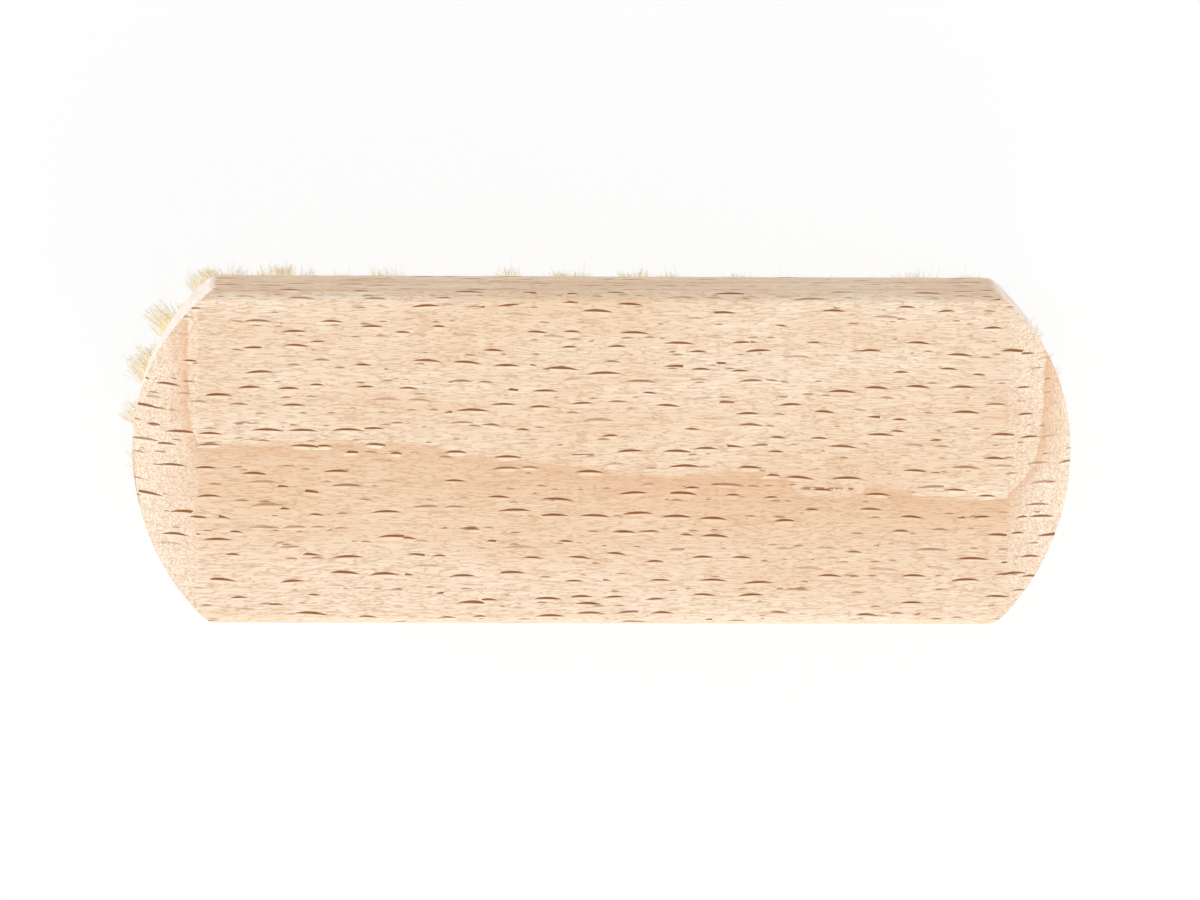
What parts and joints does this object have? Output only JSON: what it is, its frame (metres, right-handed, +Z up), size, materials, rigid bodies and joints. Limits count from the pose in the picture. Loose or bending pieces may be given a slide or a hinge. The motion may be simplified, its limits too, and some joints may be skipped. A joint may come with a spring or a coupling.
{
  "type": "shoe shine brush",
  "caption": "Shoe shine brush: raw beech back with bevelled round ends, drilled from below and filled with pale natural bristle tufts trimmed flat.",
  "frame": {"origin": "middle of the plane of the trimmed bristle tips, which the brush stands on", "axes": "+Z up through the flat top of the back, +X along the brush, +Y across it"},
  "size_m": [0.1518, 0.054, 0.039],
  "materials": {
    "beech": "raw sanded",
    "bristle": "natural hair",
    "anchor_wire": "drawn"
  },
  "bodies": {
    "root": {"back": "beech", "tufts_row_1": "bristle", "tufts_row_2": "bristle", "tufts_row_3": "bristle", "tufts_row_4": "bristle", "tufts_row_5": "bristle", "tufts_row_6": "bristle", "tufts_row_7": "bristle", "anchors_row_1": "anchor_wire", "anchors_row_2": "anchor_wire", "anchors_row_3": "anchor_wire", "anchors_row_4": "anchor_wire", "anchors_row_5": "anchor_wire", "anchors_row_6": "anchor_wire", "anchors_row_7": "anchor_wire"}
  },
  "joints": []
}
